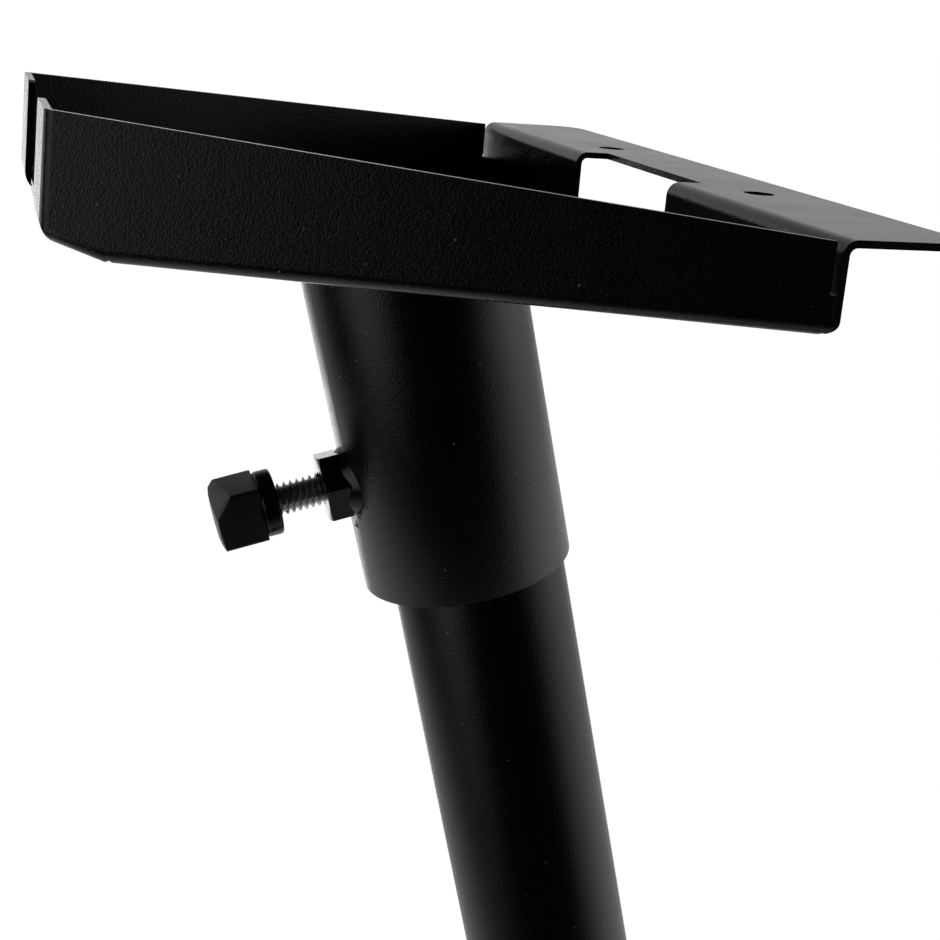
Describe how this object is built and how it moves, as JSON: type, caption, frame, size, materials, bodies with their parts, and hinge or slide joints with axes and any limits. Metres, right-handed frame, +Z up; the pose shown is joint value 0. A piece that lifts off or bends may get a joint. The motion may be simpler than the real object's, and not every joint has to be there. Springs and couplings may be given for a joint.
{
  "type": "music stand",
  "caption": "Music stand with a tilted sheet-metal head tray on a sleeve, a square clamp knob, a telescopic pole and a round base plate.",
  "frame": {"origin": "on the column's axis, at the bottom of the rubber feet", "axes": "+Z up along the column; +X towards the tray's wide, lower, flanged end; the clamp screws point to -X"},
  "size_m": [0.34, 0.34, 0.9403],
  "materials": {
    "powder_coat": "fine-textured black powder coat",
    "bright_steel": "bright zinc-plated steel",
    "turned_steel": "turned steel",
    "black_plastic": "moulded, satin to glossy",
    "guide_plastic": "moulded, matt",
    "foot_rubber": "matt"
  },
  "bodies": {
    "base": {"base_plate": "powder_coat", "rubber_feet": "foot_rubber", "foot_screws": "bright_steel", "centre_bolt": "bright_steel", "centre_washer": "bright_steel", "tube_foot_plug": "turned_steel", "tube_foot_flange": "powder_coat", "base_weld": "powder_coat", "lower_tube": "powder_coat", "tube_guide_bush": "guide_plastic", "lower_clamp_nut": "powder_coat"},
    "pole": {"pole": "powder_coat", "pole_top_plug": "guide_plastic", "pole_foot_bush": "guide_plastic"},
    "head": {"tray": "powder_coat", "head_sleeve": "powder_coat", "head_sleeve_weld": "powder_coat", "head_clamp_nut": "powder_coat"},
    "head_pad": {"head_thrust_pad": "guide_plastic"},
    "head_screw": {"head_clamp_screw": "bright_steel", "head_knob": "black_plastic", "head_knob_collar": "black_plastic"},
    "lower_pad": {"lower_thrust_pad": "guide_plastic"},
    "lower_screw": {"lower_clamp_screw": "bright_steel", "lower_knob": "black_plastic", "lower_knob_collar": "black_plastic"}
  },
  "joints": [
    {"name": "pole_slide", "type": "slide", "parent": "base", "child": "pole", "axis": [0, 0, 1], "range_m": [-0.21, 0.26]},
    {"name": "head_swivel", "type": "hinge", "parent": "pole", "child": "head", "pos_m": [0, 0, 0.86], "axis": [0, 0, 1], "continuous": true},
    {"name": "head_clamp_slide", "type": "slide", "parent": "head", "child": "head_pad", "axis": [-1, 0, 0], "range_m": [0, 0.00127]},
    {"name": "head_clamp_turn", "type": "hinge", "parent": "head_pad", "child": "head_screw", "pos_m": [0, 0, 0.856], "axis": [-1, 0, 0], "range_deg": [0, 360]},
    {"name": "lower_clamp_slide", "type": "slide", "parent": "base", "child": "lower_pad", "axis": [-1, 0, 0], "range_m": [0, 0.00127]},
    {"name": "lower_clamp_turn", "type": "hinge", "parent": "lower_pad", "child": "lower_screw", "pos_m": [0, 0, 0.566], "axis": [-1, 0, 0], "range_deg": [0, 360]}
  ],
  "couplings": [
    {"joint": "head_clamp_turn", "follows": "head_clamp_slide", "rad_per_m": 4947.4},
    {"joint": "lower_clamp_turn", "follows": "lower_clamp_slide", "rad_per_m": 4947.4}
  ]
}
